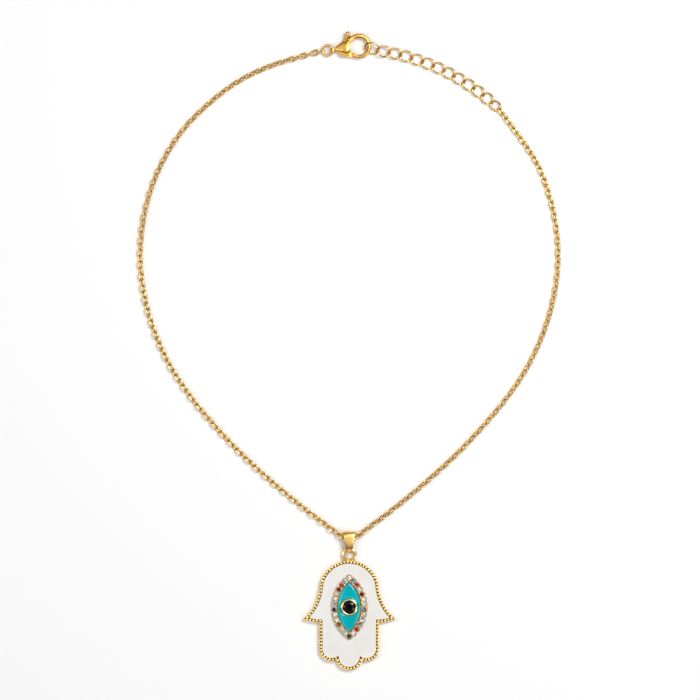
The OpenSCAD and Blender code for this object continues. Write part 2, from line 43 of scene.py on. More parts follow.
# The hand: its outline's circles, its plate, rim and enamel
ARCH = Vector((0, -77.7093))
ARCH_R = 9.65
FLARE_R = 15
TIP = Vector((15.1, -87.1093))
THUMB_R = 14.7
CORNER = Vector((9.75, -88.3093))
FINGER_R = 4.15
FINGER = Vector((5.6, -96.7093))
MIDDLE_R = 4.5
MIDDLE = Vector((0, -99.2093))
PLATE_T = 1.0
# What stands on the plate starts this high, a little sunk into it
SUNK_Z = 0.9
RIM_W = 1.05
RIM_H = 1.85
GRAIN_PITCH = 1.08
GRAIN_D = 0.84
ENAMEL_GAP = 0.03
WHITE_H = 1.6
HANG = Vector((0, -66.0593, 0))
HANG_R = 1.975
HANG_Z = 1.4

# The eye: the ring of stones, the teal enamel and the black stone
EYE = Vector((0, -83.2093, 0))
HALO_H = 19
HALO_W = 9.75
HALO_R = (HALO_H ** 2 + HALO_W ** 2) / (4 * HALO_W)
HALO_SHIFT = HALO_R - HALO_W / 2
HALO_TURN = 2 * math.asin(HALO_H / 2 / HALO_R)
HALO_COUNT = 26
STONE_D = 1.4
SEAT_R = 0.73
SCALLOP_W = 0.38
INNER_RIM = 1.1
SEAT_DEPTH = 0.61
FRAME_H = 2.4
HALO_GRAIN_D = 0.48
GIRDLE_Z = 2.38
TEAL_H = 2.05
BEZEL_R = 2.7
BEZEL_H = 2.9
# The black stone and its cup's bore are drawn 0.2 wider than the solids, as they show in the photo
PUPIL_D = 4.3
BORE_R = 2.18
PUPIL_Z = 2.84

# The bail's strip, seen from the side: distance along the necklace's length, then height
BAIL_TOP = Vector((-60.3593, 1.9))
BAIL_TOP_R = 1.9
BAIL_FOOT = Vector((-65.2593, 1.35))
BAIL_FOOT_R = 0.95
BAIL_WALL = 0.4
BAIL_POINT_Y = -66.21
BAIL_NECK_Y = -64.41
BAIL_CREST_Y = -58.46
BAIL_TOP_W = 4.4
BAIL_NECK_W = 2.4

# The chains. The cable wire is drawn 0.07 fuller and the curb wire 0.08 fuller than the solids
CENTRE = Vector((0, 27.8407, 0))
LINK_WIRE = 0.52
LINK_BEND_R = 0.775
LINK_STRAIGHT = 0.99
LINK_PITCH = 1.95
LINK_ROLL = -45
ROLLING_LINKS = 8
SPLINE_STEPS = 6
LOOP_R = 70.3
CURB_WIRE = 0.48
CURB_LOOK = 0.56
CURB_PLAY = 0.12
CURB_PITCH = 3.75
CURB_COUNT = 12
CURB_W = 3.8
CURB_TWIST = 0.26
FIRST_W = 4.0
FIRST_LEAN = 0.84
CLASP_Z = 1.75
CURB_REST_Z = 0.85
CURB_FALL = (0.95, 0.525, 0.21, 0.06)
FIRST_TURN = math.radians(7.6)
FIRST_JOINT = Vector((5.44, 71.1, CLASP_Z))
END_PITCH = 3.3
END_W = 3.3
END_TWIST = 0.34
END_Z = 0.95
END_ROOM = 0.18

# The clasp and its jump ring
HOOK = Vector((3.1, 98.9407, CLASP_Z))
HOOK_R = 3.45
CASE_END = Vector((-4.4, 97.94, CLASP_Z))
CASE_HALF = 1.45
CASE_L = 5.4
LUG = Vector((-5.3008, 97.5917, CLASP_Z))
RING_R = 1.7
RING_WIRE = 0.7
RING_END = Vector((-8.208, 69.751, 1.05))

# The chains' routes from the loop's middle: chosen points from the pendant up
SIDE_ROUTE = [
    (2.6, -88.0, 1.6), (7.4, -84.4, 1.0), (14, -79.5, 0.8), (25.5, -70, 0.8), (35.3, -61, 0.8),
    (43.8, -52, 0.8), (51.3, -43, 0.8), (57.8, -33.3, 0.8), (62.8, -22.8, 0.8), (66.2, -11.6, 0.8),
    (67.8, 0, 0.8), (67.3, 11.9, 0.8), (64.7, 23.6, 0.8),
]
LEFT_END_ROUTE = [
    (60, 34.7, 0.8), (53.4, 44.6, 0.8), (44.7, 53.2, 0.8), (35, 60.3, 0.85), (23.9, 65.3, 1.0),
]
RIGHT_END_ROUTE = [(60.1, 34.7, 0.8)]
ROUTE_MIDDLE = (0, -88.6, 1.65)


# Materials

def colour(code):
    """An sRGB hex value as linear red, green, blue and alpha."""
    parts = [int(code[i:i + 2], 16) / 255 for i in (1, 3, 5)]
    linear = [c / 12.92 if c <= 0.04045 else ((c + 0.055) / 1.055) ** 2.4 for c in parts]
    return (*linear, 1)


def add(tree, kind, inputs=None, **settings):
    """Adds a node. An input takes a value, or a socket to be linked from."""
    node = tree.nodes.new(kind)
    for name, value in settings.items():
        setattr(node, name, value)
    for name, value in (inputs or {}).items():
        if isinstance(value, bpy.types.NodeSocket):
            tree.links.new(value, node.inputs[name])
        else:
            node.inputs[name].default_value = value
    return node


# Sockets of a Mix node that mixes colours
MIX_A = 6
MIX_B = 7
MIX_RESULT = 2


def shader(name, **inputs):
    """A new material with its tree, its surface shader and its Object coordinates."""
    material = bpy.data.materials.new(name)
    material.use_nodes = True
    tree = material.node_tree
    surface = tree.nodes["Principled BSDF"]
    for socket, value in inputs.items():
        surface.inputs[socket.replace("_", " ")].default_value = value
    place = add(tree, "ShaderNodeTexCoord").outputs["Object"]
    return material, tree, surface, place


def gold_plating(name, hue, dark_hue, roughness, ripple):
    """Gold plated brass, cast and tumbled: bright, with faint ripples that break up its reflections."""
    material, tree, surface, place = shader(name, Metallic=1.0)
    # Casting ripples about 1.2 mm apart, tumbling marks about 0.15 mm apart
    waves = add(tree, "ShaderNodeTexNoise", {"Vector": place, "Scale": 800, "Detail": 2})
    marks = add(tree, "ShaderNodeTexNoise", {"Vector": place, "Scale": 6500, "Detail": 3})
    tint = add(tree, "ShaderNodeMix", {
        "Factor": waves.outputs["Fac"], MIX_A: colour(dark_hue), MIX_B: colour(hue),
    }, data_type="RGBA")
    gloss = add(tree, "ShaderNodeMapRange", {
        "Value": marks.outputs["Fac"], "From Min": 0.3, "From Max": 0.7,
        "To Min": roughness * 0.9, "To Max": roughness * 1.12,
    })
    bump = add(tree, "ShaderNodeBump", {
        "Height": waves.outputs["Fac"], "Strength": 0.5, "Distance": ripple * MM,
    })
    tree.links.new(tint.outputs[MIX_RESULT], surface.inputs["Base Color"])
    tree.links.new(gloss.outputs["Result"], surface.inputs["Roughness"])
    tree.links.new(bump.outputs["Normal"], surface.inputs["Normal"])
    return material


def enamel(name, hue, dark_hue, clear, shine):
    """Poured enamel: an even glossy glaze over metal, with a faint cloudiness in its depth."""
    material, tree, surface, place = shader(
        name, IOR=1.5, Coat_Weight=clear, Coat_Roughness=0.03, Coat_IOR=1.5, Specular_IOR_Level=shine,
    )
    # Clouds about 3 mm wide, and an orange peel of the glaze about 0.5 mm wide
    clouds = add(tree, "ShaderNodeTexNoise", {"Vector": place, "Scale": 330, "Detail": 2})
    peel = add(tree, "ShaderNodeTexNoise", {"Vector": place, "Scale": 2000, "Detail": 1})
    depth = add(tree, "ShaderNodeMapRange", {
        "Value": clouds.outputs["Fac"], "From Min": 0.35, "From Max": 0.65,
    })
    tint = add(tree, "ShaderNodeMix", {
        "Factor": depth.outputs["Result"], MIX_A: colour(dark_hue), MIX_B: colour(hue),
    }, data_type="RGBA")
    gloss = add(tree, "ShaderNodeMapRange", {
        "Value": peel.outputs["Fac"], "From Min": 0.3, "From Max": 0.7, "To Min": 0.12, "To Max": 0.2,
    })
    bump = add(tree, "ShaderNodeBump", {
        "Height": peel.outputs["Fac"], "Strength": 0.15, "Distance": 0.02 * MM,
    })
    tree.links.new(tint.outputs[MIX_RESULT], surface.inputs["Base Color"])
    tree.links.new(gloss.outputs["Result"], surface.inputs["Roughness"])
    tree.links.new(bump.outputs["Normal"], surface.inputs["Normal"])
    return material


def cut_glass(name, hue, painted_glint, painted_shade, scale, coat=0.8, shine=0.5):
    """Cut glass stones: polished facets, with light and dark flecks painted into their colour as
    reflections from inside the stone.

    The scale is the number of flecks in a metre.
    """
    material, tree, surface, place = shader(
        name, Roughness=0.05, IOR=1.5, Coat_Weight=coat, Coat_Roughness=0.02, Coat_IOR=1.6,
        Specular_IOR_Level=shine,
    )
    flecks = add(tree, "ShaderNodeTexVoronoi", {"Vector": place, "Scale": scale, "Randomness": 1.0})
    fleck = add(tree, "ShaderNodeSeparateColor", {"Color": flecks.outputs["Color"]})
    # Each fleck takes the painted shade, the stone's own colour or the painted glint
    steps = add(tree, "ShaderNodeValToRGB", {"Fac": fleck.outputs["Red"]})
    ramp = steps.color_ramp
    ramp.elements[0].position = 0.15
    ramp.elements[0].color = colour(painted_shade)
    ramp.elements[1].position = 0.85
    ramp.elements[1].color = colour(painted_glint)
    ramp.elements.new(0.5).color = colour(hue)
    tree.links.new(steps.outputs["Color"], surface.inputs["Base Color"])
    return material


def white_table():
    """Matt white board: even, with a faint grain of about 0.4 mm."""
    material, tree, surface, place = shader("White board", Roughness=0.9, Specular_IOR_Level=0.1)
    grain = add(tree, "ShaderNodeTexNoise", {"Vector": place, "Scale": 2500, "Detail": 2})
    tint = add(tree, "ShaderNodeMix", {
        "Factor": grain.outputs["Fac"], MIX_A: colour("#f1f1f1"), MIX_B: colour("#f5f5f5"),
    }, data_type="RGBA")
    tree.links.new(tint.outputs[MIX_RESULT], surface.inputs["Base Color"])
    return material


POLISHED = gold_plating("Gold plated brass, polished", "#ffe096", "#f8cf7e", 0.16, 0.012)
BRIGHT = gold_plating("Gold plated brass, grains", "#ffe7a0", "#ffdc8c", 0.24, 0.005)
SATIN = gold_plating("Gold plated brass, satin", "#ffd788", "#f6c874", 0.4, 0.004)
ROSE = gold_plating("Gold plated brass, rose toned", "#ffe4c0", "#f6cda2", 0.28, 0.01)
# The channel under the grains: dull, with a dark hue that is painted shade between the grains
PAINTED_SHADE_RECESS = gold_plating("Gold plated brass, dull, with painted shade in the recess", "#a86f22", "#7c4c10", 0.5, 0.02)
DEEP = gold_plating("Gold plated brass, deep toned", "#f4c165", "#e6ae50", 0.28, 0.003)
WIRE_GOLD = gold_plating("Gold plated brass, drawn wire", "#f5cc7e", "#deb05a", 0.2, 0.004)
WHITE_ENAMEL = enamel("Enamel, poured white", "#e7e5e2", "#e3e1dd", 0.3, 0.3)
TEAL_ENAMEL = enamel("Enamel, poured teal", "#00b0bb", "#00a0ab", 0.7, 0.0)
# Painted reflections in flecks about 1 mm wide in the black stone, which keep it nearly even
BLACK_GLASS = cut_glass("Glass, cut black", "#040404", "#0c0c0e", "#020202", 900, coat=0.3, shine=0.08)

# Each colour has its middle, its painted glint and its painted shade
STONE_COLOURS = {
    "clear": ("#dfe4e2", "#ffffff", "#8d8f88"),
    "pale blue": ("#a9cfe4", "#f2fbff", "#5f8ba8"),
    "red": ("#a81c22", "#e6605c", "#4a0a0c"),
    "garnet": ("#4e1a1a", "#94483e", "#1c0808"),
    "champagne": ("#cdb79b", "#f8ecd8", "#7c6648"),
    "black": ("#0e0e0e", "#a2a29e", "#040404"),
    "mint": ("#a6cfbd", "#eafaf2", "#557c69"),
    "brown": ("#6b4a33", "#b98d68", "#2c1b10"),
    "aqua": ("#a9c9cc", "#effafa", "#5b8184"),
    "green black": ("#24413c", "#5d8a80", "#0a1614"),
    "lilac": ("#b3bddb", "#f1f3ff", "#6a7397"),
    "grey blue": ("#8aa3b0", "#d8e6ee", "#475964"),
    "ruby": ("#7c1f25", "#cf5a60", "#33090d"),
    "steel blue": ("#5f8fb4", "#b9dbf2", "#2a4a66"),
}
# The stones' colours from the top point round by the left, the bottom point and the right
STONES = [
    "clear", "pale blue", "red", "garnet", "champagne", "clear", "pale blue",
    "black", "mint", "clear", "brown", "clear", "aqua", "green black",
    "lilac", "red", "grey blue", "pale blue", "clear", "black", "clear",
    "clear", "ruby", "mint", "red", "steel blue",
]
# Painted reflections in flecks about 0.4 mm wide in the small stones
STONE_GLASS = {
    name: cut_glass(f"Glass, cut {name}", *codes, 2600)
    for name, codes in STONE_COLOURS.items()
}


# Meshes

def new_piece(name, points, faces, material, sharp=30):
    """A piece from points in millimetres. Its normals face outwards and its ridges are sharp."""
    shape = bmesh.new()
    corners = [shape.verts.new(Vector(p) * MM) for p in points]
    for face in faces:
        shape.faces.new([corners[i] for i in face])
    bmesh.ops.remove_doubles(shape, verts=shape.verts, dist=0.0005 * MM)
    bmesh.ops.recalc_face_normals(shape, faces=shape.faces)
    mesh = bpy.data.meshes.new(name)
    shape.to_mesh(mesh)
    shape.free()
    mesh.materials.append(material)
    mesh.shade_smooth()
    mesh.set_sharp_from_angle(angle=math.radians(sharp))
    piece = bpy.data.objects.new(name, mesh)
    bpy.context.scene.collection.objects.link(piece)
    return piece


def loft(rings, closed=False):
    """Points and faces of a skin over rings of equal length.

    A closed skin joins its last ring to its first. An open one is left without caps.
    """
    count = len(rings[0])
    points = [p for ring in rings for p in ring]
    faces = []
    for i in range(len(rings) if closed else len(rings) - 1):
        j = (i + 1) % len(rings)
        for k in range(count):
            m = (k + 1) % count
            faces.append((i * count + k, i * count + m, j * count + m, j * count + k))
    return points, faces


def round_ring(centre, radius, z, steps):
    turns = [2 * math.pi * k / steps for k in range(steps)]
    return [(centre.x + radius * math.cos(a), centre.y + radius * math.sin(a), z) for a in turns]


def lathe(profile, centre, steps=64):
    """Points and faces of a closed profile of radius and height, turned about an upright axis."""
    return loft([round_ring(centre, radius, z, steps) for radius, z in profile], closed=True)


def joined(skins):
    """Points and faces of several skins as one."""
    points = []
    faces = []
    for more, skin in skins:
        faces += [tuple(len(points) + k for k in face) for face in skin]
        points += more
    return points, faces


def applied(piece):
    """Leaves what the piece's modifiers make as its plain mesh."""
    graph = bpy.context.evaluated_depsgraph_get()
    mesh = bpy.data.meshes.new_from_object(piece.evaluated_get(graph), depsgraph=graph)
    piece.modifiers.clear()
    piece.data = mesh
    return mesh


def finished(piece, nodes, body="root"):
    """Sets the piece on its body in place of the CAD nodes."""
    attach(piece, body)
    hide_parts(*nodes)
    return piece


# Geometry Nodes

def baked(piece, tree, inputs):
    """Runs a tree on a piece with its inputs by name and leaves a plain mesh."""
    modifier = piece.modifiers.new("Build", "NODES")
    modifier.node_group = tree
    for item in tree.interface.items_tree:
        if item.name in inputs:
            modifier[item.identifier] = inputs[item.name]
    applied(piece).name = piece.name
    return piece


def new_tree(name, sizes):
    """A geometry tree with a size input for each name, a material input, and its two ends."""
    tree = bpy.data.node_groups.new(name, "GeometryNodeTree")
    tree.interface.new_socket("Geometry", in_out="INPUT", socket_type="NodeSocketGeometry")
    tree.interface.new_socket("Geometry", in_out="OUTPUT", socket_type="NodeSocketGeometry")
    for size, kind in sizes.items():
        tree.interface.new_socket(size, in_out="INPUT", socket_type=kind)
    tree.interface.new_socket("Material", in_out="INPUT", socket_type="NodeSocketMaterial")
    start = add(tree, "NodeGroupInput")
    finish = add(tree, "NodeGroupOutput")
    return tree, start.outputs, finish.inputs["Geometry"]


def end_tree(tree, shape, material, finish):
    """Ends a tree with real, smooth faces of the material."""
    real = add(tree, "GeometryNodeRealizeInstances", {"Geometry": shape})
    smooth = add(tree, "GeometryNodeSetShadeSmooth", {"Geometry": real.outputs[0]})
    dressed = add(tree, "GeometryNodeSetMaterial", {"Geometry": smooth.outputs[0], "Material": material})
    tree.links.new(dressed.outputs[0], finish)


def wire_tree():
    """Round wire along each run of edges."""
    tree, given, finish = new_tree("Wire along a path", {
        "Wire diameter": "NodeSocketFloat", "Sides": "NodeSocketInt",
    })
    path = add(tree, "GeometryNodeMeshToCurve", {"Mesh": given["Geometry"]})
    half = add(tree, "ShaderNodeMath", {0: given["Wire diameter"], 1: 0.5}, operation="MULTIPLY")
    profile = add(tree, "GeometryNodeCurvePrimitiveCircle", {
        "Resolution": given["Sides"], "Radius": half.outputs[0],
    })
    tube = add(tree, "GeometryNodeCurveToMesh", {
        "Curve": path.outputs[0], "Profile Curve": profile.outputs[0], "Fill Caps": True,
    })
    end_tree(tree, tube.outputs[0], given["Material"], finish)
    return tree


def cable_tree():
    """An oval cable link on each point, turned as the point says."""
    tree, given, finish = new_tree("Cable links", {
        "Wire diameter": "NodeSocketFloat", "Bend radius": "NodeSocketFloat",
        "Straight": "NodeSocketFloat", "Bend steps": "NodeSocketInt", "Sides": "NodeSocketInt",
    })
    bend = add(tree, "GeometryNodeCurvePrimitiveCircle", {
        "Resolution": given["Bend steps"], "Radius": given["Bend radius"],
    })
    place = add(tree, "GeometryNodeInputPosition")
    parts = add(tree, "ShaderNodeSeparateXYZ", {0: place.outputs[0]})
    side = add(tree, "ShaderNodeMath", {0: parts.outputs["X"]}, operation="SIGN")
    half = add(tree, "ShaderNodeMath", {0: given["Straight"], 1: 0.5}, operation="MULTIPLY")
    move = add(tree, "ShaderNodeMath", {0: side.outputs[0], 1: half.outputs[0]}, operation="MULTIPLY")
    offset = add(tree, "ShaderNodeCombineXYZ", {"X": move.outputs[0]})
    oval = add(tree, "GeometryNodeSetPosition", {"Geometry": bend.outputs[0], "Offset": offset.outputs[0]})
    thick = add(tree, "ShaderNodeMath", {0: given["Wire diameter"], 1: 0.5}, operation="MULTIPLY")
    profile = add(tree, "GeometryNodeCurvePrimitiveCircle", {
        "Resolution": given["Sides"], "Radius": thick.outputs[0],
    })
    link = add(tree, "GeometryNodeCurveToMesh", {
        "Curve": oval.outputs[0], "Profile Curve": profile.outputs[0],
    })
    turns = add(tree, "GeometryNodeInputNamedAttribute", {"Name": "turns"}, data_type="FLOAT_VECTOR")
    rotation = add(tree, "FunctionNodeEulerToRotation", {0: turns.outputs["Attribute"]})
    links = add(tree, "GeometryNodeInstanceOnPoints", {
        "Points": given["Geometry"], "Instance": link.outputs[0], "Rotation": rotation.outputs[0],
    })
    end_tree(tree, links.outputs[0], given["Material"], finish)
    return tree


def grain_tree():
    """A grain on each point, flattened to its height."""
    tree, given, finish = new_tree("Grains on points", {
        "Diameter": "NodeSocketFloat", "Height": "NodeSocketFloat",
    })
    half = add(tree, "ShaderNodeMath", {0: given["Diameter"], 1: 0.5}, operation="MULTIPLY")
    ball = add(tree, "GeometryNodeMeshIcoSphere", {"Radius": half.outputs[0], "Subdivisions": 3})
    flat = add(tree, "ShaderNodeMath", {0: given["Height"], 1: given["Diameter"]}, operation="DIVIDE")
    scale = add(tree, "ShaderNodeCombineXYZ", {"X": 1.0, "Y": 1.0, "Z": flat.outputs[0]})
    grains = add(tree, "GeometryNodeInstanceOnPoints", {
        "Points": given["Geometry"], "Instance": ball.outputs[0], "Scale": scale.outputs[0],
    })
    end_tree(tree, grains.outputs[0], given["Material"], finish)
    return tree


WIRE = wire_tree()
CABLE = cable_tree()
GRAINS = grain_tree()


def points_piece(name, places, closed=False):
    """A piece of loose points, or of points joined in a closed run."""
    mesh = bpy.data.meshes.new(name)
    count = len(places)
    edges = [(i, (i + 1) % count) for i in range(count)] if closed else []
    mesh.from_pydata([Vector(p) * MM for p in places], edges, [])
    piece = bpy.data.objects.new(name, mesh)
    bpy.context.scene.collection.objects.link(piece)
    return piece


def wire_piece(name, path, wire, sides):
    return baked(points_piece(name, path, closed=True), WIRE, {
        "Wire diameter": wire * MM, "Sides": sides, "Material": WIRE_GOLD,
    })


def grain_piece(name, places, width, height, material):
    return baked(points_piece(name, places), GRAINS, {
        "Diameter": width * MM, "Height": height * MM, "Material": material,
    })


# The cable chain

def smooth_route(route):
    """A smooth curve through chosen points, the same as the solids follow."""
    points = [Vector(p) for p in route]
    last = len(points) - 1
    path = []
    for i in range(last):
        a, b, c, d = points[max(0, i - 1)], points[i], points[i + 1], points[min(last, i + 2)]
        square = 2 * a - 5 * b + 4 * c - d
        cube = 3 * b - a - 3 * c + d
        for k in range(SPLINE_STEPS):
            t = k / SPLINE_STEPS
            path.append(b + 0.5 * t * (c - a + square * t + cube * t * t))
    return path + [points[last]]


def equal_steps(path, count=None, pitch=None):
    """Points at equal steps along a path."""
    run = [0]
    for p, q in zip(path, path[1:]):
        run.append(run[-1] + (q - p).length)
    count = count or round(run[-1] / pitch)
    steps = []
    k = 0
    for i in range(count + 1):
        wanted = run[-1] * i / count
        while k < len(path) - 2 and run[k + 1] < wanted:
            k += 1
        steps.append(path[k].lerp(path[k + 1], (wanted - run[k]) / (run[k + 1] - run[k])))
    return steps


def turns_between(p, q, roll=0.0):
    """Turns about X, Y and Z that lay a thing from p to q, rolled about the way."""
    way = q - p
    return (math.radians(roll), -math.asin(way.z / way.length), math.atan2(way.y, way.x))


def cable_chain(name, route, last_roll):
    """Links rolled one way and the other in turn. The last few roll on to meet what holds them."""
    joints = equal_steps(smooth_route(route), pitch=LINK_PITCH)
    count = len(joints) - 1
    last_own = LINK_ROLL if count % 2 else -LINK_ROLL
    change = last_roll - last_own - 180 * math.floor((last_roll - last_own) / 180 + 0.5)
    places = []
    turns = []
    for i in range(count):
        own = -LINK_ROLL if i % 2 else LINK_ROLL
        roll = own + change * max(0, 1 - (count - 1 - i) / ROLLING_LINKS)
        places.append((joints[i] + joints[i + 1]) / 2 + CENTRE)
        turns.extend(turns_between(joints[i], joints[i + 1], roll))
    piece = points_piece(name, places)
    piece.data.attributes.new("turns", "FLOAT_VECTOR", "POINT").data.foreach_set("vector", turns)
    baked(piece, CABLE, {
        "Wire diameter": LINK_WIRE * MM, "Bend radius": LINK_BEND_R * MM,
        "Straight": LINK_STRAIGHT * MM, "Bend steps": 22, "Sides": 8, "Material": WIRE_GOLD,
    })
    return finished(piece, [name.replace("cable", "chain")])


def on_loop(turn, z):
    return Vector((LOOP_R * math.sin(turn), LOOP_R * math.cos(turn), z))


CURB_TURN = 2 * math.asin(CURB_PITCH / 2 / LOOP_R)
END_TURN = FIRST_TURN + (CURB_COUNT - 1) * CURB_TURN + 2 * math.asin(END_PITCH / 2 / LOOP_R)

mirrored_route = [(-x, y, z) for x, y, z in SIDE_ROUTE + LEFT_END_ROUTE]
cable_chain("cable_left", [ROUTE_MIDDLE] + mirrored_route + [RING_END], 90)
right_end = on_loop(END_TURN - END_ROOM / LOOP_R, END_Z)
cable_chain("cable_right", [ROUTE_MIDDLE] + SIDE_ROUTE + RIGHT_END_ROUTE + [right_end], 60)


# The extender

def oval_link(name, node, start, end, width, twist, lean):
    """A closed oval link from joint to joint. It twists along its length, or leans to one side."""
    half_l = ((end - start).length + CURB_WIRE + CURB_PLAY) / 2
    half_w = (width - CURB_WIRE) / 2
    turn = Euler(turns_between(start, end), "XYZ").to_matrix()
    middle = (start + end) / 2 + CENTRE
    path = []
    for k in range(32):
        t = 2 * math.pi * k / 32
        u = half_l * math.cos(t)
        v = half_w * math.sin(t)
        path.append(middle + turn @ Vector((u, v, (twist * u + lean) * v)))
    return finished(wire_piece(name, path, CURB_LOOK, 10), [node])


curb_joints = [FIRST_JOINT]
for i in range(CURB_COUNT):
    fall = CURB_FALL[i] if i < len(CURB_FALL) else 0
    curb_joints.append(on_loop(FIRST_TURN + i * CURB_TURN, CURB_REST_Z + fall * (CLASP_Z - CURB_REST_Z)))
curb_joints.append(on_loop(END_TURN, END_Z))
curb_shapes = [(FIRST_W, 0, FIRST_LEAN)]
curb_shapes += [(CURB_W, CURB_TWIST, 0)] * (CURB_COUNT - 1)
for i, shape in enumerate(curb_shapes):
    name = f"link_{i + 1:02d}"
    oval_link("curb_" + name, "extender_" + name, curb_joints[i], curb_joints[i + 1], *shape)
oval_link("chain_end_link", "extender_end_link", *curb_joints[-2:], END_W, END_TWIST, 0)


# The hand

def crossing(c1, r1, c2, r2):
    """The crossing of two circles that lies to the left on the way from the first to the second."""
    way = c2 - c1
    along = (r1 * r1 - r2 * r2 + way.length_squared) / (2 * way.length)
    aside = math.sqrt(max(0, r1 * r1 - along * along))
    ahead = way.normalized()
    return c1 + along * ahead + aside * Vector((-ahead.y, ahead.x))


def arc(centre, radius, start, end, steps):
    """Points round a circle from one turn to another."""
    return [
        centre + radius * Vector((math.cos(a), math.sin(a)))
        for a in (start + (end - start) * k / steps for k in range(steps + 1))
    ]


def angle_of(v):
    return math.atan2(v.y, v.x)


def half_hand(inset):
    """Right half of the hand's outline from the top to the bottom, set in by a distance."""
    flare = crossing(ARCH, ARCH_R + FLARE_R, TIP, FLARE_R)
    thumb = crossing(CORNER, THUMB_R, TIP, THUMB_R)
    point = crossing(flare, FLARE_R + inset, thumb, THUMB_R - inset)
    side_x = CORNER.x - inset
    drop = math.sqrt((THUMB_R - inset) ** 2 - (side_x - thumb.x) ** 2)
    under = Vector((side_x, thumb.y - drop))
    cleft = crossing(FINGER, FINGER_R - inset, MIDDLE, MIDDLE_R - inset)
    full = 2 * math.pi
    return (
        arc(ARCH, ARCH_R - inset, math.pi / 2, angle_of(flare - ARCH), 20)
        + arc(flare, FLARE_R + inset, math.pi + angle_of(flare - ARCH), full + angle_of(point - flare), 12)
        + arc(thumb, THUMB_R - inset, angle_of(point - thumb), angle_of(under - thumb), 10)
        + arc(FINGER, FINGER_R - inset, 0, angle_of(cleft - FINGER), 14)
        + arc(MIDDLE, MIDDLE_R - inset, angle_of(cleft - MIDDLE), -math.pi / 2, 10)
    )


def hand_ring(inset, z):
    """The whole outline of the hand at a height, clockwise from the top."""
    right = half_hand(inset)
    left = [Vector((-p.x, p.y)) for p in reversed(right[1:-1])]
    return [(p.x, p.y, z) for p in right + left]


def hand_rim():
    """The plate and the raised rim: a rounded outer wall, a channel for the grains and an inner lip."""
    channel_z = 1.5
    profile = [
        (0.22, 0), (0.06, 0.06), (0, 0.24), (0, 1.45), (0.04, 1.68), (0.13, 1.8), (0.22, 1.78),
        (0.3, 1.6), (0.36, channel_z), (0.76, channel_z), (0.84, 1.62), (0.9, 1.74), (0.97, 1.78),
        (1.04, 1.7), (RIM_W, PLATE_T),
    ]
    rings = [hand_ring(inset, z) for inset, z in profile]
    points, faces = loft(rings)
    count = len(rings[0])
    faces.append(tuple(range(count)))
    faces.append(tuple(len(points) - count + k for k in range(count)))
    piece = new_piece("hand_rim", points, faces, POLISHED)
    piece.data.materials.append(PAINTED_SHADE_RECESS)
    # The channel's floor is dull, and dark in colour as painted shade between the grains
    for face in piece.data.polygons:
        if face.normal.z > 0.2 and abs(face.center.z - channel_z * MM) < 0.1 * MM:
            face.material_index = 1
    return finished(piece, ["pendant_casting"])


def rim_grains():
    path = [Vector((p.x, p.y, 0)) for p in half_hand(RIM_W / 2)]
    run = sum((q - p).length for p, q in zip(path, path[1:]))
    count = round(run / GRAIN_PITCH)
    steps = equal_steps(path, count=2 * count)[1::2]
    places = [(side * p.x, p.y, RIM_H - 0.02) for p in steps for side in (-1, 1)]
    return finished(grain_piece("rim_grains", places, GRAIN_D, 0.5, BRIGHT), ["pendant_casting"])


hand_rim()
rim_grains()


# The eye

def halo_place(index, out=0.0):
    """A place on the ring of stones, or a distance out from it, from the eye's middle.

    Stone 0 is at the top point. They go on by the left, the bottom point and the right.
    """
    half = HALO_COUNT / 2
    left = index <= half
    step = index if left else HALO_COUNT - index
    turn = HALO_TURN / 2 - HALO_TURN * step / half
    x = (HALO_R + out) * math.cos(turn) - HALO_SHIFT
    return Vector((-x if left else x, (HALO_R + out) * math.sin(turn)))


def circle_exit(direction, centre, radius):
    """How far a ray from the origin runs until it leaves a circle, or 0."""
    along = direction.dot(centre)
    rest = radius * radius - centre.length_squared + along * along
    return max(0, along + math.sqrt(rest)) if rest > 0 else 0


def almond_reach(direction, radius):
    shift = Vector((HALO_SHIFT, 0))
    return min(circle_exit(direction, shift, radius), circle_exit(direction, -shift, radius))


def frame_reach(direction, grow):
    """How far the scalloped frame reaches from the eye's middle."""
    reach = almond_reach(direction, HALO_R + STONE_D / 2 + grow)
    for i in range(HALO_COUNT):
        reach = max(reach, circle_exit(direction, halo_place(i), STONE_D / 2 + SCALLOP_W + grow))
    return reach


def eye_ring(directions, reach, z):
    return [(EYE.x + d.x * reach(d), EYE.y + d.y * reach(d), z) for d in directions]


SCALLOP_STEPS = 14
halo_directions = [
    halo_place(k / SCALLOP_STEPS).normalized() for k in range(HALO_COUNT * SCALLOP_STEPS)
]


def inner_rim():
    """The smooth raised rim between the stones and the teal enamel."""
    inner = HALO_R - INNER_RIM
    profile = [
        (0.36, SUNK_Z), (0.36, 2.2), (0.32, 2.34), (0.24, FRAME_H),
        (0.12, FRAME_H), (0.04, 2.32), (0, 2.15), (0, SUNK_Z),
    ]
    rings = [
        eye_ring(halo_directions, lambda d, out=out: almond_reach(d, inner + out), z)
        for out, z in profile
    ]
    return finished(new_piece("inner_rim", *loft(rings, closed=True), POLISHED), ["pendant_casting"])


def seat_cutter():
    """A round post through the frame for each stone."""
    posts = []
    for i in range(HALO_COUNT):
        spot = EYE.xy + halo_place(i)
        rings = [round_ring(spot, SEAT_R, z, 24) for z in (GIRDLE_Z - SEAT_DEPTH, 4)]
        points, faces = loft(rings)
        posts.append((points, faces + [tuple(range(24)), tuple(range(24, 48))]))
    return new_piece("seat_cutter", *joined(posts), ROSE)


